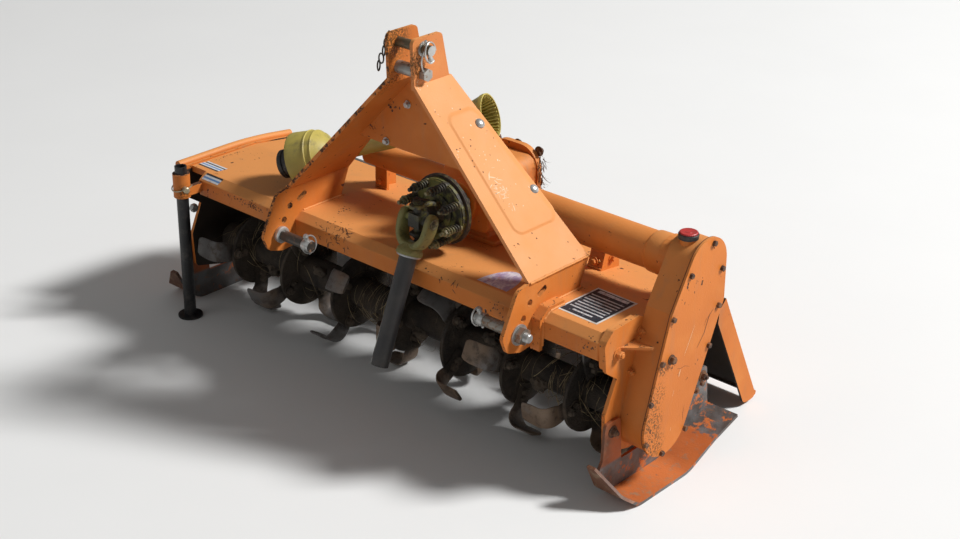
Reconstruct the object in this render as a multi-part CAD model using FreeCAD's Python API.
"""Three-point rotary tiller, 60 inch, chain driven, parked on its skids and stand.

All sizes are millimetres.  While the pieces are made, x = 0 is the middle of the
hitch, y = 0 the front face of the beam and z = 0 the floor; +x is the chain-case
side, +y is rearwards.  The last step moves every piece so that the origin lies on
the floor below the middle of the whole machine.
"""
import FreeCAD
import Part
import math
import os

Vector = FreeCAD.Vector

# Working width
PLATE_T = 10.0            # end plates, hitch plates and mast legs
RIGHT_PLATE_X = 633.0     # outer face of the right end plate
LEFT_PLATE_X = -882.0     # outer face of the left end plate

# Front beam
BEAM_BOTTOM = 358.0
BEAM_FACE = 46.0          # height of the upright front face
BEAM_CHAMFER_Y = 24.0
BEAM_CHAMFER_Z = 18.0
BEAM_DEPTH = 120.0
BEAM_TOP = BEAM_BOTTOM + BEAM_FACE + BEAM_CHAMFER_Z
BEAM_LEFT_X = -809.0      # the deck reaches forward between here and the left end plate

# Hood
SHEET = 5.0
HOOD_BEND_Y = 262.0       # the flat deck ends here
HOOD_REAR_Y = 412.0
HOOD_REAR_DROP = 20.0
HOOD_BEND_R = 160.0
LIP_R = 12.0
DECK_FRONT_Y = 28.0       # front edge of the deck left of the beam
DECK_LIP = 18.0

# Rotor
ROTOR_Y = 150.0
ROTOR_Z = 171.0
FLANGE_COUNT = 7
FLANGE_PITCH = 203.2
FLANGE_RADIUS = 106.0
FLANGE_T = 10.0
ROTOR_TUBE_R = 40.0
STUB_R = 17.5
ROTOR_GAP = 10.0          # tube end to end plate
RUNNING_FIT = 0.05        # shaft in its bearing, on the radius
TINES_PER_FLANGE = 4
TINE_T = 8.0
TINE_REACH = 82.0         # sideways length of the blade
TINE_BLADE_R = 161.0      # outer face of the blade, from the rotor axis
TINE_TRAIL = 10.0         # degrees the blade trails behind its root
SPIRAL = 0.37             # turn from flange to flange, as a share of the tine spacing

# Drive
GEAR_X = 26.0             # middle of the gearbox and of the driveline half on it
DRIVE_Y = 275.0
DRIVE_Z = 532.0
DRIVE_TUBE_R = 48.0
SUPPORT_TUBE_R = 33.0
SUPPORT_TUBE_END = -402.0
SNOUT_Y = 168.0           # front face of the gearbox snout
COVER_Y = 373.0           # gearbox body to its rear cover
BRACKET_X = 396.0         # side face of a tube bracket
BRACKET_Y = 285.0         # front face of a tube bracket
BRACKET_T = 8.0
BRACKET_WIDTH = 44.0

# Chain case
CASE_BODY = 70.0
CASE_COVER = 8.0
CASE_RIM = 6.0            # the cover stands proud of the case all round
CASE_BOTTOM_R = 86.0
CASE_TOP_R = 76.0
CASE_FRONT_KINK = (146.0, 455.0)
CASE_REAR_KINK = (358.0, 425.0)
CASE_TOP_Y = 279.0
FILLER_X = 666.0
FILLER_Y = 256.0
FILLER_Z = 603.0          # seat of the filler cap
FILLER_R = 25.0

# Three-point hitch
HITCH_HALF = 411.0        # inner face of a hitch plate
PIN_Y = -54.0
PIN_Z = 380.0
LOWER_PIN_R = 14.2
LOWER_PIN_LENGTH = 122.0
PIN_STUD_R = 12.0
HITCH_HOLES = ((-38.0, 415.0), (-16.0, 449.0))
HITCH_HOLE_R = 9.0
STRAP_T = 11.0            # strap beside the hitch plate, over the beam's front
STRAP_WIDTH = 28.0
STRAP_BOTTOM = 328.0
STRAP_REAR_Y = 78.0
MAST_FOOT_Z = 500.0
MAST_NECK_Z = 889.0
EAR_HALF_GAP = 36.0
EAR_TOP_Z = 1003.0
BRACE_LOW_Z = 660.0
BRACE_HIGH_Z = 852.0
BRACE_Y = 92.0
TOP_PIN_Y = 17.0
TOP_PIN_Z = 975.0
TOP_PIN_R = 12.5
EAR_BOLT_Z = 913.0
EAR_BOLT_R = 9.5
BOLT_SIDES = 16           # sides of a bolt that fills its hole
PRESSING = 2.5            # the legs' middle is pressed out by this

# Driveline half on the gearbox
CROSS_Y = 18.0
SHAFT_LEAN = 21.8         # degrees forward of straight down
SHAFT_TUBE_R = 23.0
SHAFT_LENGTH = 382.0
SHAFT_RING = 12.0
SHAFT_RING_R = 34.0
CLUTCH_R = 92.0
CLUTCH_Y = 90.0           # front face of the clutch
CROSS_R = 12.0
YOKE_BASE = 20.0          # thickness of a yoke below its ears
CLUTCH_YOKE_GAP = 62.0
CLUTCH_YOKE_EAR = 14.0
CLUTCH_YOKE_DEPTH = 46.0
SHAFT_YOKE_GAP = 70.0
SHAFT_YOKE_EAR = 18.0
SHAFT_YOKE_DEPTH = 58.0   # clears the clutch yoke's ears as the shaft swings

# Skids
SKID_WIDTH = 97.0
SKID_T = 8.0
SKID_HEEL_Y = 437.0

# Parking stand
STAND_X = -814.0
STAND_Y = -57.0
STAND_R = 17.0
STAND_TOP = 461.0
SOCKET_LOW_Z = 371.0
SOCKET_HIGH_Z = 440.0
STAND_FOOT_R = 35.0
SLIDE_FIT = 0.3

# Rear board
BOARD_HINGE_Y = 446.0
BOARD_HINGE_Z = 382.0
BOARD_LEAN = 27.5
BOARD_LENGTH = 418.0
BOARD_START = 30.0        # hinge to the sheet's upper edge
BOARD_SET = 9.0           # the sheet lies this far behind the hinge
BOARD_T = 5.0
BOARD_FLANGE = 38.0       # front edge of the end flange, ahead of the hinge line
BOARD_SIDE_GAP = 6.0      # board flange to end plate
HINGE_ROD_R = 7.0

# Loose driveline half on the deck
GUARD_START = (-544.0, 139.5, 495.2)
GUARD_TURN = 23.7
GUARD_RISE = 19.95
GUARD_LENGTH = 583.0
BELL_LENGTH = 70.0
BELL_R = 61.0
BELL_SIDES = 20

nodes = {}


def box(x0, x1, y0, y1, z0, z1):
    """Block between two opposite corners."""
    return Part.makeBox(x1 - x0, y1 - y0, z1 - z0, Vector(x0, y0, z0))


def rod_x(y, z, radius, x0, x1):
    """Round bar along x."""
    return Part.makeCylinder(radius, x1 - x0, Vector(x0, y, z), Vector(1, 0, 0))


def rod_y(x, z, radius, y0, y1):
    """Round bar along y."""
    return Part.makeCylinder(radius, y1 - y0, Vector(x, y0, z), Vector(0, 1, 0))


def rod_z(x, y, radius, z0, z1):
    """Round bar along z."""
    return Part.makeCylinder(radius, z1 - z0, Vector(x, y, z0), Vector(0, 0, 1))


def rounded_wire(corners, place):
    """Closed outline through corners (u, v, corner radius); place maps u, v to 3-D."""
    count = len(corners)
    edges = []
    starts = []
    ends = []
    mids = []
    for i in range(count):
        u, v, radius = corners[i]
        here = Vector(u, v, 0)
        before = Vector(corners[i - 1][0], corners[i - 1][1], 0) - here
        after = Vector(corners[(i + 1) % count][0], corners[(i + 1) % count][1], 0) - here
        if radius <= 0:
            starts.append(here)
            ends.append(here)
            mids.append(None)
            continue
        before.normalize()
        after.normalize()
        half = before.getAngle(after) / 2
        reach = radius / math.tan(half)
        bisector = before + after
        bisector.normalize()
        centre = here + bisector * (radius / math.sin(half))
        starts.append(here + before * reach)
        ends.append(here + after * reach)
        mids.append(centre - bisector * radius)
    for i in range(count):
        if mids[i] is not None:
            arc = Part.Arc(place(starts[i]), place(mids[i]), place(ends[i]))
            edges.append(arc.toShape())
        follow = (i + 1) % count
        if (starts[follow] - ends[i]).Length > 1e-6:
            edges.append(Part.LineSegment(place(ends[i]), place(starts[follow])).toShape())
    return Part.Wire(edges)


def plate_x(corners, x0, x1):
    """Plate across x with a rounded outline in y, z."""
    wire = rounded_wire(corners, lambda p: Vector(x0, p.x, p.y))
    return Part.Face(wire).extrude(Vector(x1 - x0, 0, 0))


def plate_y(corners, y0, y1):
    """Plate across y with a rounded outline in x, z."""
    wire = rounded_wire(corners, lambda p: Vector(p.x, y0, p.y))
    return Part.Face(wire).extrude(Vector(0, y1 - y0, 0))


def plate_z(corners, z0, z1):
    """Plate across z with a rounded outline in x, y."""
    wire = rounded_wire(corners, lambda p: Vector(p.x, p.y, z0))
    return Part.Face(wire).extrude(Vector(0, 0, z1 - z0))


def joined(shapes):
    """One solid from touching shapes."""
    first = shapes[0]
    return first.fuse(shapes[1:]).removeSplitter()


def mirrored(shape):
    """The same piece on the other side of the hitch middle."""
    return shape.mirror(Vector(0, 0, 0), Vector(1, 0, 0))


def drum(radius, sides, place):
    """Closed outline with many equal sides, for round pieces that need no running fit."""
    corners = []
    for i in range(sides):
        turn = 2 * math.pi * (i + 0.5) / sides
        corners.append((radius * math.cos(turn), radius * math.sin(turn), 0))
    return rounded_wire(corners, place)


def drum_x(y, z, radius, x0, x1, sides=24):
    """Many-sided disc or bar along x."""
    wire = drum(radius, sides, lambda p: Vector(x0, y + p.x, z + p.y))
    return Part.Face(wire).extrude(Vector(x1 - x0, 0, 0))


def drum_y(x, z, radius, y0, y1, sides=24):
    """Many-sided disc or bar along y."""
    wire = drum(radius, sides, lambda p: Vector(x + p.x, y0, z + p.y))
    return Part.Face(wire).extrude(Vector(0, y1 - y0, 0))


def drum_z(x, y, radius, z0, z1, sides=24):
    """Many-sided disc or bar along z."""
    wire = drum(radius, sides, lambda p: Vector(x + p.x, y + p.y, z0))
    return Part.Face(wire).extrude(Vector(0, 0, z1 - z0))


def hex_x(y, z, across, x0, x1):
    """Hexagon head or nut along x."""
    corners = []
    for i in range(6):
        turn = math.radians(60 * i + 30)
        radius = across / math.sqrt(3)
        corners.append((y + radius * math.cos(turn), z + radius * math.sin(turn), 0))
    return plate_x(corners, x0, x1)


def tangent(c0, r0, c1, r1, side):
    """Ends of the outer tangent from circle 0 to circle 1, on the named side (+1 or -1)."""
    dy = c1[0] - c0[0]
    dz = c1[1] - c0[1]
    length = math.hypot(dy, dz)
    base = math.atan2(dz, dy)
    tilt = math.acos((r0 - r1) / length)
    turn = base + side * tilt
    start = (c0[0] + r0 * math.cos(turn), c0[1] + r0 * math.sin(turn))
    end = (c1[0] + r1 * math.cos(turn), c1[1] + r1 * math.sin(turn))
    return start, end


def front_beam():
    """Formed closed section across the front, with the bolting flange at its right end."""
    x1 = RIGHT_PLATE_X - 2 * PLATE_T
    face_top = BEAM_BOTTOM + BEAM_FACE
    section = [
        (0, BEAM_BOTTOM, 6),
        (0, face_top, 4),
        (BEAM_CHAMFER_Y, BEAM_TOP, 4),
        (BEAM_DEPTH, BEAM_TOP, 0),
        (BEAM_DEPTH, BEAM_BOTTOM, 6),
    ]
    beam = plate_x(section, BEAM_LEFT_X, x1)
    flange = plate_x(flange_outline() + [(BEAM_DEPTH, 436, 0), (BEAM_DEPTH, 328, 0)], x1, x1 + PLATE_T)
    return joined([beam, flange])


def flange_outline():
    """Front edge of the two flanges that bolt the beam to the right end plate."""
    return [
        (10, 330, 18),
        (0, 405, 22),
        (30, 433, 12),
    ]


def hood_profile(offset):
    """Rear end of the hood sheet, offset down from its top face."""
    return (HOOD_REAR_Y - 0.25 * offset, BEAM_TOP - HOOD_REAR_DROP - offset)


def hood():
    """Deck sheet: flat behind the beam, bent down to the rear, forward again left of the beam."""
    x0 = LEFT_PLATE_X + PLATE_T
    x1 = RIGHT_PLATE_X - PLATE_T
    top_rear = hood_profile(0)
    low_rear = hood_profile(SHEET)
    sheet = plate_x(
        [
            (BEAM_DEPTH, BEAM_TOP, 0),
            (HOOD_BEND_Y, BEAM_TOP, HOOD_BEND_R),
            (top_rear[0], top_rear[1], 0),
            (low_rear[0], low_rear[1], 0),
            (HOOD_BEND_Y, BEAM_TOP - SHEET, HOOD_BEND_R - SHEET),
            (BEAM_DEPTH, BEAM_TOP - SHEET, 0),
        ],
        x0,
        x1,
    )
    deck_left = box(x0, BEAM_LEFT_X, DECK_FRONT_Y, BEAM_DEPTH, BEAM_TOP - SHEET, BEAM_TOP)
    lip = box(x0, BEAM_LEFT_X, DECK_FRONT_Y, DECK_FRONT_Y + SHEET, BEAM_TOP - DECK_LIP, BEAM_TOP)
    return joined([sheet, deck_left, lip])


def end_plate_outline(front_lobe):
    """Side wall of the rotor hood: bearing lobe below, hood line above, hinge ear behind."""
    top_rear = hood_profile(0)
    if front_lobe:
        front = flange_outline() + [(128, 437, 0), (150, BEAM_TOP + 4, 0)]
    else:
        front = [(8, 330, 0), (4, BEAM_TOP + 4, 0)]
    return front + [
        (HOOD_BEND_Y, BEAM_TOP + 4, HOOD_BEND_R),
        (top_rear[0], top_rear[1] + 4, 0),
        (BOARD_HINGE_Y + 16, BOARD_HINGE_Z + 12, 12),
        (BOARD_HINGE_Y + 14, BOARD_HINGE_Z - 16, 12),
        (404, 320, 0),
        (404, 130, 16),
        (270, 112, 0),
        (ROTOR_Y + 35, ROTOR_Z - 84, 0),
        (ROTOR_Y - 35, ROTOR_Z - 84, 0),
        (20, 112, 16),
        (14, 215, 0),
        (52, 300, 0),
    ]


def end_plate_right():
    """Right side wall, with the beam's second flange and the bore for the rotor shaft."""
    x0 = RIGHT_PLATE_X - PLATE_T
    plate = plate_x(end_plate_outline(True), x0, RIGHT_PLATE_X)
    bore = rod_x(ROTOR_Y, ROTOR_Z, STUB_R + 6, x0 - 1, RIGHT_PLATE_X + 1)
    rod = rod_x(BOARD_HINGE_Y, BOARD_HINGE_Z, HINGE_ROD_R, x0 - 1, RIGHT_PLATE_X + 1)
    rib = plate_z(
        [
            (RIGHT_PLATE_X, 58, 0),
            (RIGHT_PLATE_X + 56, 108, 0),
            (RIGHT_PLATE_X + 56, 114, 0),
            (RIGHT_PLATE_X, 114, 0),
        ],
        374,
        380,
    )
    return joined([plate.cut(bore).cut(rod), rib])


def end_plate_left():
    """Left side wall with the raised rounded rim along its top."""
    plate = plate_x(end_plate_outline(False), LEFT_PLATE_X, LEFT_PLATE_X + PLATE_T)
    bore = rod_x(ROTOR_Y, ROTOR_Z, STUB_R + 6, LEFT_PLATE_X - 1, LEFT_PLATE_X + PLATE_T + 1)
    rod = rod_x(BOARD_HINGE_Y, BOARD_HINGE_Z, HINGE_ROD_R, LEFT_PLATE_X - 1, LEFT_PLATE_X + PLATE_T + 1)
    return plate.cut(bore).cut(rod)


def hood_rim():
    """Rounded bar welded along the top edge of the left end plate."""
    top_rear = hood_profile(0)
    x = LEFT_PLATE_X - LIP_R
    points = [
        Vector(x, -4, BEAM_TOP + 4),
        Vector(x, HOOD_BEND_Y, BEAM_TOP + 6),
        Vector(x, top_rear[0] + 4, top_rear[1] + 6),
    ]
    path = Part.makePolygon(points)
    ring = drum(LIP_R, 24, lambda p: points[0] + Vector(p.x, 0, p.y))
    return path.makePipeShell([ring], True, False, 1)


def hitch_outline():
    """Hitch plate: pin boss in front of the beam, bar over the deck."""
    return [
        (-94, 344, 22),
        (-112, 386, 20),
        (-60, 492, 26),
        (-16, MAST_FOOT_Z, 0),
        (201, MAST_FOOT_Z, 0),
        (168, BEAM_TOP, 0),
        (BEAM_CHAMFER_Y, BEAM_TOP, 0),
        (0, BEAM_BOTTOM + BEAM_FACE, 0),
        (0, 334, 0),
        (-48, 330, 20),
    ]


def hitch_plate():
    """Right hitch plate with the strap that hugs the beam beside it."""
    x0 = HITCH_HALF
    x1 = HITCH_HALF + PLATE_T
    face_top = BEAM_BOTTOM + BEAM_FACE
    plate = plate_x(hitch_outline(), x0, x1)
    strap = plate_x(
        [
            (-STRAP_T, STRAP_BOTTOM, 0),
            (-STRAP_T, face_top + 4, 8),
            (BEAM_CHAMFER_Y - 4, BEAM_TOP + STRAP_T, 8),
            (STRAP_REAR_Y, BEAM_TOP + STRAP_T, 0),
            (STRAP_REAR_Y, BEAM_TOP, 0),
            (BEAM_CHAMFER_Y, BEAM_TOP, 0),
            (0, face_top, 0),
            (0, STRAP_BOTTOM, 0),
        ],
        x1,
        x1 + STRAP_WIDTH,
    )
    body = joined([plate, strap])
    body = body.cut(drum_x(PIN_Y, PIN_Z, PIN_STUD_R, x0 - 1, x1 + 1, BOLT_SIDES))
    for y, z in HITCH_HOLES:
        body = body.cut(rod_x(y, z, HITCH_HOLE_R, x0 - 1, x1 + 1))
    slot = plate_x([(14, 450, 7), (46, 466, 7), (40, 480, 7), (8, 464, 7)], x0 - 1, x1 + 1)
    return body.cut(slot)


def mast_leg():
    """Right leg: pressed plate leaning to the middle, bent upright into the ear."""
    foot_x = HITCH_HALF + PLATE_T
    neck_x = EAR_HALF_GAP + PLATE_T
    slope = Vector(neck_x - foot_x, 0, MAST_NECK_Z - MAST_FOOT_Z)
    length = slope.Length
    up = Vector(slope)
    up.normalize()
    inward = Vector(-up.z, 0, up.x)
    base = Vector(foot_x, 0, MAST_FOOT_Z)

    def place(p):
        return base + up * p.y + Vector(0, p.x, 0)

    over = 30.0
    outline = [(-21, -over, 0), (203, -over, 0), (109, length + over, 0), (-14, length + over, 0)]
    sheet = Part.Face(rounded_wire(outline, place)).extrude(inward * PLATE_T)
    trim = box(EAR_HALF_GAP, foot_x + 1, -80, 240, MAST_FOOT_Z, MAST_NECK_Z)
    sheet = sheet.common(trim)
    panel = [(30, 118, 20), (164, 118, 20), (112, 436, 20), (28, 436, 20)]
    pressing = Part.Face(rounded_wire(panel, place)).extrude(inward * -PRESSING)
    sheet = sheet.fuse(pressing)
    ear = plate_x(
        [
            (-14, MAST_NECK_Z - 12, 0),
            (109, MAST_NECK_Z - 12, 0),
            (80, EAR_TOP_Z, 14),
            (-20, EAR_TOP_Z, 14),
        ],
        EAR_HALF_GAP,
        EAR_HALF_GAP + PLATE_T,
    )
    ear = ear.cut(rod_x(TOP_PIN_Y, TOP_PIN_Z, TOP_PIN_R + 0.3, EAR_HALF_GAP - 1, EAR_HALF_GAP + PLATE_T + 1))
    bolt = drum_x(TOP_PIN_Y, EAR_BOLT_Z, EAR_BOLT_R, EAR_HALF_GAP - 1, EAR_HALF_GAP + PLATE_T + 1, BOLT_SIDES)
    ear = ear.cut(bolt)
    return joined([sheet, ear])


def leg_inner_x(z):
    """Inner face of the right leg at height z."""
    foot_x = HITCH_HALF + PLATE_T
    neck_x = EAR_HALF_GAP + PLATE_T
    rise = MAST_NECK_Z - MAST_FOOT_Z
    share = (z - MAST_FOOT_Z) / rise
    slope = math.hypot(foot_x - neck_x, rise)
    return foot_x + (neck_x - foot_x) * share - PLATE_T * slope / rise


def mast_brace():
    """Plate between the two legs, behind the clutch."""
    corners = [
        (-leg_inner_x(BRACE_LOW_Z), BRACE_LOW_Z, 0),
        (leg_inner_x(BRACE_LOW_Z), BRACE_LOW_Z, 0),
        (leg_inner_x(BRACE_HIGH_Z), BRACE_HIGH_Z, 0),
        (-leg_inner_x(BRACE_HIGH_Z), BRACE_HIGH_Z, 0),
    ]
    return plate_y(corners, BRACE_Y, BRACE_Y + 6)


def top_pin():
    """Top-link pin through the ears, with head and cross-drilled end."""
    reach = EAR_HALF_GAP + PLATE_T
    pin = rod_x(TOP_PIN_Y, TOP_PIN_Z, TOP_PIN_R, -reach, reach + 26)
    head = drum_x(TOP_PIN_Y, TOP_PIN_Z, 19, -reach - 14, -reach, 24)
    return joined([pin, head])


def ear_bolt():
    """Lower bolt of the ears with its spacer tube."""
    reach = EAR_HALF_GAP + PLATE_T
    spacer = drum_x(TOP_PIN_Y, EAR_BOLT_Z, 16, -EAR_HALF_GAP, EAR_HALF_GAP, 20)
    shank = drum_x(TOP_PIN_Y, EAR_BOLT_Z, EAR_BOLT_R, -reach, reach, BOLT_SIDES)
    head = hex_x(TOP_PIN_Y, EAR_BOLT_Z, 28, -reach - 12, -reach)
    nut = hex_x(TOP_PIN_Y, EAR_BOLT_Z, 28, reach, reach + 16)
    return joined([spacer, shank, head, nut])


def lower_pin():
    """Right lower pin: shank inwards, stud through the plate, nut outside."""
    outer = HITCH_HALF + PLATE_T
    shank = rod_x(PIN_Y, PIN_Z, LOWER_PIN_R, HITCH_HALF - LOWER_PIN_LENGTH, HITCH_HALF)
    stud = drum_x(PIN_Y, PIN_Z, PIN_STUD_R, HITCH_HALF, outer, BOLT_SIDES)
    nut = hex_x(PIN_Y, PIN_Z, 38, outer, outer + 20)
    return joined([shank, stud, nut])


def gearbox():
    """Casting on the deck: body, input snout and side flanges."""
    body = plate_y(
        [
            (GEAR_X - 80, 456, 24),
            (GEAR_X + 80, 456, 24),
            (GEAR_X + 80, 620, 34),
            (GEAR_X - 80, 620, 34),
        ],
        190,
        COVER_Y,
    )
    feet = box(GEAR_X - 92, GEAR_X + 92, 200, 360, BEAM_TOP, BEAM_TOP + 14)
    neck = box(GEAR_X - 58, GEAR_X + 58, 212, 348, BEAM_TOP + 14, 456)
    snout = drum_y(GEAR_X, DRIVE_Z, 52, SNOUT_Y, 190)
    right = drum_x(DRIVE_Y, DRIVE_Z, 66, GEAR_X + 80, GEAR_X + 96)
    left = drum_x(DRIVE_Y, DRIVE_Z, 52, GEAR_X - 96, GEAR_X - 80)
    return joined([body, feet, neck, snout, right, left])


def gearbox_cover():
    """Rear cover over the change gears."""
    corners = [
        (GEAR_X - 83, 448, 40),
        (GEAR_X + 83, 448, 40),
        (GEAR_X + 83, 638, 60),
        (GEAR_X - 83, 638, 60),
    ]
    return plate_y(corners, COVER_Y, COVER_Y + 16)


def drive_tube():
    """Housing of the cross shaft, from the gearbox to the chain case."""
    tube = rod_x(DRIVE_Y, DRIVE_Z, DRIVE_TUBE_R, GEAR_X + 110, RIGHT_PLATE_X - 28)
    inner = drum_x(DRIVE_Y, DRIVE_Z, 66, GEAR_X + 96, GEAR_X + 110)
    collar = drum_x(DRIVE_Y, DRIVE_Z, DRIVE_TUBE_R + 7, RIGHT_PLATE_X - 28, RIGHT_PLATE_X)
    return joined([tube, inner, collar])


def support_tube():
    """Left stay of the gearbox, out to its bracket."""
    tube = rod_x(DRIVE_Y, DRIVE_Z - 10, SUPPORT_TUBE_R, SUPPORT_TUBE_END, GEAR_X - 108)
    flange = drum_x(DRIVE_Y, DRIVE_Z, 52, GEAR_X - 108, GEAR_X - 96)
    return joined([tube, flange])


def deck_z(y):
    """Top of the deck behind its bend."""
    return BEAM_TOP - HOOD_REAR_DROP * (y - HOOD_BEND_Y) / (HOOD_REAR_Y - HOOD_BEND_Y)


def tube_bracket(radius, axis_z, lean):
    """Angle bracket on the right of the hitch middle: side plate and leaning front plate."""
    x1 = BRACKET_X
    x0 = x1 - BRACKET_T
    y0 = BRACKET_Y
    back = lean * (axis_z - BEAM_TOP)
    side = plate_x(
        [
            (y0, deck_z(y0), 0),
            (y0 + 72, deck_z(y0 + 72), 0),
            (y0 + 72, BEAM_TOP + 24, 0),
            (y0 + back + 6, axis_z, 0),
            (y0 + back, axis_z, 0),
        ],
        x0,
        x1,
    )
    side = side.cut(drum_x(y0 + 40, BEAM_TOP + 20, 6, x0 - 1, x1 + 1, 12))
    face = plate_x(
        [
            (y0, deck_z(y0), 0),
            (y0 + BRACKET_T, deck_z(y0 + BRACKET_T), 0),
            (y0 + BRACKET_T + back, axis_z, 0),
            (y0 + back, axis_z, 0),
        ],
        x1 - BRACKET_WIDTH,
        x0,
    )
    face = face.cut(drum_y(x1 - BRACKET_T - 6, BEAM_TOP + 18, 5, y0 - 1, y0 + 30, 12))
    body = joined([side, face])
    return body.cut(rod_x(DRIVE_Y, axis_z, radius, x1 - BRACKET_WIDTH - 1, x1 + 1))


def case_wire(inset):
    """Outline of the chain case: two round ends, kinked front and rear walls."""
    low = (ROTOR_Y, ROTOR_Z)
    high = (CASE_TOP_Y, DRIVE_Z)
    low_r = CASE_BOTTOM_R - inset
    high_r = CASE_TOP_R - inset
    front = (CASE_FRONT_KINK[0] + inset, CASE_FRONT_KINK[1])
    rear = (CASE_REAR_KINK[0] - inset, CASE_REAR_KINK[1])
    front_low = tangent(low, low_r, front, 0.001, 1)[0]
    front_high = tangent(high, high_r, front, 0.001, -1)[0]
    rear_low = tangent(low, low_r, rear, 0.001, -1)[0]
    rear_high = tangent(high, high_r, rear, 0.001, 1)[0]
    top = (high[0], high[1] + high_r)
    bottom = (low[0], low[1] - low_r)

    def at(point):
        return Vector(0, point[0], point[1])

    edges = [
        Part.LineSegment(at(front_low), at(front)).toShape(),
        Part.LineSegment(at(front), at(front_high)).toShape(),
        Part.Arc(at(front_high), at(top), at(rear_high)).toShape(),
        Part.LineSegment(at(rear_high), at(rear)).toShape(),
        Part.LineSegment(at(rear), at(rear_low)).toShape(),
        Part.Arc(at(rear_low), at(bottom), at(front_low)).toShape(),
    ]
    return Part.Wire(edges)


def case_slab(inset, x0, x1):
    """Slab of the case outline between two x planes."""
    slab = Part.Face(case_wire(inset)).extrude(Vector(x1 - x0, 0, 0))
    slab.translate(Vector(x0, 0, 0))
    return slab


def chain_case():
    """Oil-tight case outside the right end plate, closed, bored for the rotor shaft."""
    x0 = RIGHT_PLATE_X
    body = case_slab(CASE_RIM, x0, x0 + CASE_BODY)
    bore = rod_x(ROTOR_Y, ROTOR_Z, STUB_R + RUNNING_FIT, x0 - 1, x0 + 40)
    neck = drum_z(FILLER_X, FILLER_Y, 19, DRIVE_Z + 40, FILLER_Z, 24)
    return joined([body, neck]).cut(bore)


def chain_cover():
    """Bolted cover sheet on the outside of the case."""
    x0 = RIGHT_PLATE_X + CASE_BODY
    return case_slab(0.0, x0, x0 + CASE_COVER)


def filler_cap():
    """Round filler cap on the top of the case."""
    return drum_z(FILLER_X, FILLER_Y, FILLER_R, FILLER_Z, FILLER_Z + 17, 24)


def skid(inner_x, side):
    """Boat-shaped runner with an upright web bolted to the end plate."""
    thick = SKID_T
    outer = [
        (-48, 106, 0),
        (-14, 37, 30),
        (34, 0, 50),
        (235, 0, 120),
        (343, 45, 0),
        (SKID_HEEL_Y, 73, 0),
    ]
    inner = [
        (SKID_HEEL_Y - 2, 73 + thick, 0),
        (340, 45 + thick, 0),
        (233, thick, 112),
        (37, thick, 42),
        (-7, 41, 22),
        (-40, 109, 0),
    ]
    far_x = inner_x + side * SKID_WIDTH
    floor = plate_x(outer + inner, min(inner_x, far_x), max(inner_x, far_x))
    slant = plate_y(
        [
            (inner_x + side * 10, 122, 0),
            (far_x, 20, 0),
            (far_x + side * 5, 20, 0),
            (far_x + side * 5, 150, 0),
            (inner_x + side * 10, 150, 0),
        ],
        -60,
        36,
    )
    floor = floor.cut(slant)
    web_outline = [
        (-20, 58, 0),
        (32, 5, 0),
        (236, 5, 0),
        (343, 50, 0),
        (SKID_HEEL_Y - 6, 76, 0),
        (416, 196, 12),
        (300, 196, 12),
        (250, 78, 0),
        (76, 78, 0),
        (66, 196, 12),
        (8, 196, 12),
        (4, 100, 0),
    ]
    side_x = inner_x + side * thick
    web = plate_x(web_outline, min(inner_x, side_x), max(inner_x, side_x))
    return joined([floor, web])


def rotor_bearing():
    """Flanged bearing outside the left end plate."""
    x1 = LEFT_PLATE_X
    house = drum_x(ROTOR_Y, ROTOR_Z, 46, x1 - 34, x1)
    bore = rod_x(ROTOR_Y, ROTOR_Z, STUB_R + RUNNING_FIT, x1 - 26, x1 + 1)
    return house.cut(bore)


def rotor():
    """Rotor tube with its stub shafts, flanges, and tines on both flange faces in a spiral."""
    x0 = LEFT_PLATE_X + PLATE_T + ROTOR_GAP
    x1 = RIGHT_PLATE_X - PLATE_T - ROTOR_GAP
    parts = [
        drum_x(ROTOR_Y, ROTOR_Z, ROTOR_TUBE_R, x0, x1, 16),
        rod_x(ROTOR_Y, ROTOR_Z, STUB_R, LEFT_PLATE_X - 25, x0),
        rod_x(ROTOR_Y, ROTOR_Z, STUB_R, x1, RIGHT_PLATE_X + 38),
    ]
    left = tine(-1)
    right = tine(1)
    step = 360.0 / TINES_PER_FLANGE
    for number, x in enumerate(flange_places()):
        parts.append(drum_x(ROTOR_Y, ROTOR_Z, FLANGE_RADIUS, x - FLANGE_T / 2, x + FLANGE_T / 2, 20))
        for k in range(TINES_PER_FLANGE):
            shape = left if k % 2 else right
            piece = shape.copy()
            turn = step * k + number * step * SPIRAL
            piece.rotate(Vector(0, 0, 0), Vector(1, 0, 0), turn)
            piece.translate(Vector(x, ROTOR_Y, ROTOR_Z))
            parts.append(piece)
    return joined(parts)


def flange_places():
    """Middle plane of each tine flange, centred between the end plates."""
    middle = (LEFT_PLATE_X + RIGHT_PLATE_X) / 2
    first = middle - FLANGE_PITCH * (FLANGE_COUNT - 1) / 2
    return [first + FLANGE_PITCH * i for i in range(FLANGE_COUNT)]


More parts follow.
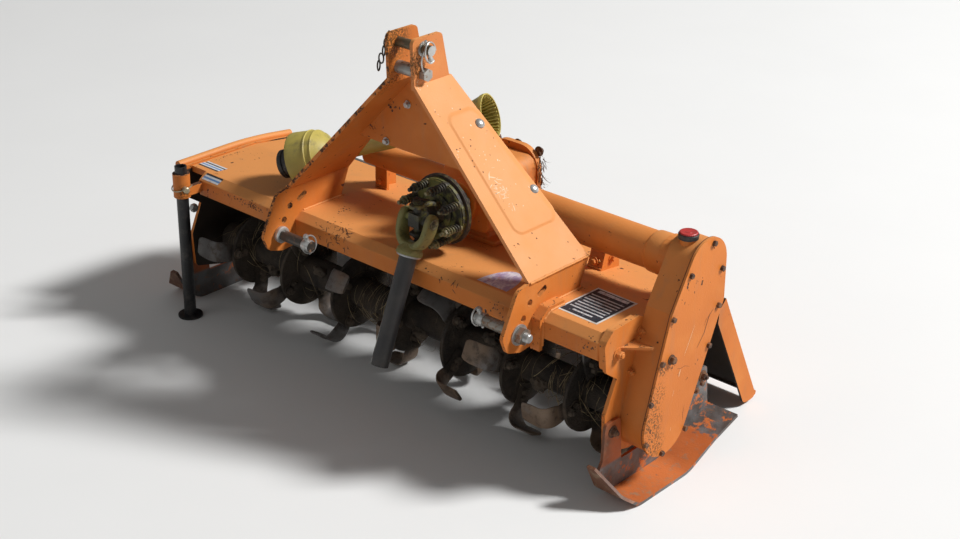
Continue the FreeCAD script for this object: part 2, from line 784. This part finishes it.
def tine(side):
    """One L-shaped tine pointing straight down from the rotor axis at x = 0, its blade trailing."""
    root = FLANGE_T / 2
    inner = root + TINE_T
    tip = root + TINE_REACH
    low = -TINE_BLADE_R
    section = [
        (root, -58, 0),
        (root, low + 20, 0),
        (root + 8, low + 5, 0),
        (root + 22, low, 0),
        (tip, low, 0),
        (tip, low + TINE_T, 0),
        (inner + 15, low + TINE_T, 0),
        (inner + 5, low + 13, 0),
        (inner, low + 24, 0),
        (inner, -58, 0),
    ]
    section = [(side * x, z, r) for x, z, r in section]
    strip = plate_y(section, -70, 60)
    knife = plate_x(
        [
            (-22, -56, 0),
            (22, -56, 0),
            (30, -104, 0),
            (27, low - 5, 0),
            (-31, low - 5, 0),
            (-31, -136, 0),
            (-14, -100, 0),
        ],
        -tip - 1,
        tip + 1,
    )
    blade = strip.common(knife)
    blade.rotate(Vector(0, 0, 0), Vector(1, 0, 0), -TINE_TRAIL)
    return blade


def stand_socket():
    """Round socket for the parking stand, on its bracket in front of the beam."""
    outer = drum_z(STAND_X, STAND_Y, STAND_R + 7, SOCKET_LOW_Z, SOCKET_HIGH_Z)
    low = SOCKET_LOW_Z + 4
    bracket = box(BEAM_LEFT_X, BEAM_LEFT_X + 15, STAND_Y, 0, low, BEAM_BOTTOM + BEAM_FACE - 4)
    bore = rod_z(STAND_X, STAND_Y, STAND_R + SLIDE_FIT, SOCKET_LOW_Z - 1, SOCKET_HIGH_Z + 1)
    return joined([outer, bracket]).cut(bore)


def stand():
    """Parking stand: tube and round foot."""
    tube = rod_z(STAND_X, STAND_Y, STAND_R, 6, STAND_TOP)
    hollow = drum_z(STAND_X, STAND_Y, STAND_R - 4, STAND_TOP - 40, STAND_TOP + 1, 20)
    foot = drum_z(STAND_X, STAND_Y, STAND_FOOT_R, 0, 6, 24)
    return joined([tube.cut(hollow), foot])


def rear_board():
    """Levelling board with end flanges and hinge barrels, hanging behind the rotor."""
    x0 = LEFT_PLATE_X - BOARD_SIDE_GAP - 6
    x1 = RIGHT_PLATE_X + BOARD_SIDE_GAP + 6
    back = BOARD_SET + BOARD_T
    low = BOARD_LENGTH
    pieces = [
        box(x0, x1, BOARD_SET, back, -low, -BOARD_START),
        drum_x(BOARD_SET + BOARD_T / 2, -low + 8, 7, x0, x1, 10),
    ]
    for xa in (x0, x1 - 6):
        flange = plate_x(
            [
                (back, -BOARD_START, 0),
                (-20, -BOARD_START - 10, 0),
                (-BOARD_FLANGE, -BOARD_START - 40, 0),
                (-BOARD_FLANGE, -low + 20, 20),
                (-12, -low + 4, 0),
                (back, -low - 6, 12),
            ],
            xa,
            xa + 6,
        )
        pieces.append(flange)
    for xa, xb in board_barrels():
        pieces.append(drum_x(0, 0, HINGE_ROD_R + 6, xa, xb, 12))
        pieces.append(box(xa, xb, BOARD_SET, back, -BOARD_START, 0))
    board = joined(pieces)
    for xa, xb in board_barrels():
        board = board.cut(rod_x(0, 0, HINGE_ROD_R + RUNNING_FIT, xa - 1, xb + 1))
    board.rotate(Vector(0, 0, 0), Vector(1, 0, 0), BOARD_LEAN)
    board.translate(Vector(0, BOARD_HINGE_Y, BOARD_HINGE_Z))
    return board


def board_barrels():
    """x range of each hinge barrel on the board."""
    return [(-820.0, -740.0), (-180.0, -90.0), (480.0, 570.0)]


def hinge_rod():
    """Long rod through the end plates that the board hangs on."""
    return rod_x(BOARD_HINGE_Y, BOARD_HINGE_Z, HINGE_ROD_R, LEFT_PLATE_X - 4, RIGHT_PLATE_X + 4)


def slip_clutch():
    """Friction clutch on the gearbox shaft: disc pack between two plates, and its hub."""
    pack = drum_y(GEAR_X, DRIVE_Z, CLUTCH_R - 7, CLUTCH_Y, CLUTCH_Y + 26, 28)
    rim = drum_y(GEAR_X, DRIVE_Z, CLUTCH_R, CLUTCH_Y + 14, CLUTCH_Y + 22, 28)
    hub = drum_y(GEAR_X, DRIVE_Z, 38, CLUTCH_Y + 26, SNOUT_Y, 24)
    return joined([pack, rim, hub])


def fork(ear_gap, ear_t, depth, width):
    """Yoke with its ears upwards, the cross centre at the origin; depth is cross to inner bottom."""
    half = ear_gap / 2
    reach = depth + YOKE_BASE
    outline = [
        (-half - ear_t, -16, 0),
        (-half - ear_t, 18, 0),
        (-half - ear_t + 6, 24, 0),
        (-half, 24, 0),
        (-half, -depth, 14),
        (half, -depth, 14),
        (half, 24, 0),
        (half + ear_t - 6, 24, 0),
        (half + ear_t, 18, 0),
        (half + ear_t, -16, 0),
        (half - 2, -reach, 0),
        (-half + 2, -reach, 0),
    ]
    return plate_y(outline, -width / 2, width / 2)


def clutch_yoke():
    """Fork on the clutch, pointing at the cross."""
    yoke = fork(CLUTCH_YOKE_GAP, CLUTCH_YOKE_EAR, CLUTCH_YOKE_DEPTH, 40)
    yoke.rotate(Vector(0, 0, 0), Vector(0, 0, 1), 90)
    yoke.rotate(Vector(0, 0, 0), Vector(1, 0, 0), 90)
    yoke.translate(Vector(GEAR_X, CROSS_Y, DRIVE_Z))
    neck = drum_y(GEAR_X, DRIVE_Z, 30, CROSS_Y + CLUTCH_YOKE_DEPTH + YOKE_BASE, CLUTCH_Y, 24)
    return joined([yoke, neck])


def joint_cross():
    """Cross of the universal joint; its upright arms seat between the clutch yoke's ears."""
    hub = box(-18, 18, -18, 18, -18, 18)
    across = SHAFT_YOKE_GAP / 2 + SHAFT_YOKE_EAR - 3
    upright = CLUTCH_YOKE_GAP / 2
    arms = [
        rod_x(0, 0, CROSS_R, -across, -18),
        rod_x(0, 0, CROSS_R, 18, across),
        drum_z(0, 0, CROSS_R, -upright, -18, 16),
        drum_z(0, 0, CROSS_R, 18, upright, 16),
    ]
    cross = joined([hub] + arms)
    cross.translate(Vector(GEAR_X, CROSS_Y, DRIVE_Z))
    return cross


def on_shaft(shape):
    """Lean a piece made along -z from the cross centre into its hanging place."""
    shape.rotate(Vector(0, 0, 0), Vector(1, 0, 0), -SHAFT_LEAN)
    shape.translate(Vector(GEAR_X, CROSS_Y, DRIVE_Z))
    return shape


def shaft_yoke():
    """Fork on the hanging half of the driveline, bored for the cross."""
    yoke = fork(SHAFT_YOKE_GAP, SHAFT_YOKE_EAR, SHAFT_YOKE_DEPTH, 44)
    ear = SHAFT_YOKE_GAP / 2 + SHAFT_YOKE_EAR + 1
    yoke = yoke.cut(rod_x(0, 0, CROSS_R + RUNNING_FIT, -ear, ear))
    base = SHAFT_YOKE_DEPTH + YOKE_BASE
    ring = drum_z(0, 0, SHAFT_RING_R, -base - SHAFT_RING, -base)
    return on_shaft(joined([yoke, ring]))


def shaft_tube():
    """Profile tube that the other driveline half slides on."""
    top = -SHAFT_YOKE_DEPTH - YOKE_BASE - SHAFT_RING
    tube = rod_z(0, 0, SHAFT_TUBE_R, -SHAFT_LENGTH, top)
    bore = rod_z(0, 0, SHAFT_TUBE_R - 4.5, -SHAFT_LENGTH - 1, -SHAFT_LENGTH + 120)
    return on_shaft(tube.cut(bore))


def guard_place(shape):
    """Put a piece made along +x into the loose driveline half's place on the deck."""
    shape.rotate(Vector(0, 0, 0), Vector(0, 1, 0), -GUARD_RISE)
    shape.rotate(Vector(0, 0, 0), Vector(0, 0, 1), GUARD_TURN)
    shape.translate(Vector(*GUARD_START))
    return shape


def bell(start, radius_a, radius_b, length, floor_at_start):
    """Open cone of the shield, 4 mm thick, with its floor at the named end."""
    skin = many_cone(start, radius_a, radius_b, length)
    if floor_at_start:
        hollow = many_cone(start + 5, radius_a - 4, radius_b - 4, length - 4)
    else:
        hollow = many_cone(start - 1, radius_a - 4, radius_b - 4, length - 4)
    return skin.cut(hollow)


def many_cone(start, radius_a, radius_b, length):
    """Many-sided cone along x."""
    mouth = drum(radius_a, BELL_SIDES, lambda p: Vector(start, p.x, p.y))
    end = drum(radius_b, BELL_SIDES, lambda p: Vector(start + length, p.x, p.y))
    return Part.makeLoft([mouth, end], True, True)


def loose_guard():
    """Shield tube of the loose driveline half, with a bell at each end."""
    right_start = GUARD_LENGTH - BELL_LENGTH
    tube = drum_x(0, 0, 25, 85, right_start + 3, BELL_SIDES)
    left = bell(0, 78, 60, 90, False)
    right = bell(right_start, 42, BELL_R, BELL_LENGTH, True)
    return guard_place(joined([left, tube, right]))


def loose_shaft():
    """Yoke end of the loose half, showing at its left bell."""
    end = drum_x(0, 0, 40, -50, 14, 24)
    core = drum_x(0, 0, 22, 14, 85, 16)
    return guard_place(joined([end, core]))


def build():
    """Make every node in the hitch frame."""
    nodes["front_beam"] = front_beam()
    nodes["hood"] = hood()
    nodes["hood_rim"] = hood_rim()
    nodes["end_plate_left"] = end_plate_left()
    nodes["end_plate_right"] = end_plate_right()
    nodes["hitch_plate_right"] = hitch_plate()
    nodes["hitch_plate_left"] = mirrored(hitch_plate())
    nodes["mast_leg_right"] = mast_leg()
    nodes["mast_leg_left"] = mirrored(mast_leg())
    nodes["mast_brace"] = mast_brace()
    nodes["top_pin"] = top_pin()
    nodes["ear_bolt"] = ear_bolt()
    nodes["lower_pin_right"] = lower_pin()
    nodes["lower_pin_left"] = mirrored(lower_pin())
    nodes["gearbox"] = gearbox()
    nodes["gearbox_cover"] = gearbox_cover()
    nodes["drive_tube"] = drive_tube()
    nodes["support_tube"] = support_tube()
    nodes["tube_bracket_right"] = tube_bracket(DRIVE_TUBE_R, DRIVE_Z, 0.3)
    nodes["tube_bracket_left"] = mirrored(tube_bracket(SUPPORT_TUBE_R, DRIVE_Z - 10, 0.0))
    nodes["chain_case"] = chain_case()
    nodes["chain_cover"] = chain_cover()
    nodes["filler_cap"] = filler_cap()
    nodes["skid_right"] = skid(RIGHT_PLATE_X, 1)
    nodes["skid_left"] = skid(LEFT_PLATE_X, -1)
    nodes["rotor_bearing"] = rotor_bearing()
    nodes["rotor"] = rotor()
    nodes["stand_socket"] = stand_socket()
    nodes["stand_leg"] = stand()
    nodes["rear_board"] = rear_board()
    nodes["hinge_rod"] = hinge_rod()
    nodes["slip_clutch"] = slip_clutch()
    nodes["clutch_yoke"] = clutch_yoke()
    nodes["joint_cross"] = joint_cross()
    nodes["shaft_yoke"] = shaft_yoke()
    nodes["shaft_tube"] = shaft_tube()
    nodes["loose_guard"] = loose_guard()
    nodes["loose_shaft"] = loose_shaft()


build()
front = nodes["shaft_tube"].optimalBoundingBox(False, False).YMin
rear = nodes["rear_board"].optimalBoundingBox(False, False).YMax
shift = Vector(-(LEFT_PLATE_X + RIGHT_PLATE_X) / 2, -round((front + rear) / 2, 1), 0)
print("front", front, "rear", rear, "shift", shift)
os.makedirs("parts", exist_ok=True)
for name, shape in nodes.items():
    placed = shape.copy()
    placed.translate(shift)
    print(name, len(placed.Solids), round(placed.Volume / 1e3), placed.isValid())
    placed.exportStep("parts/" + name + ".step")
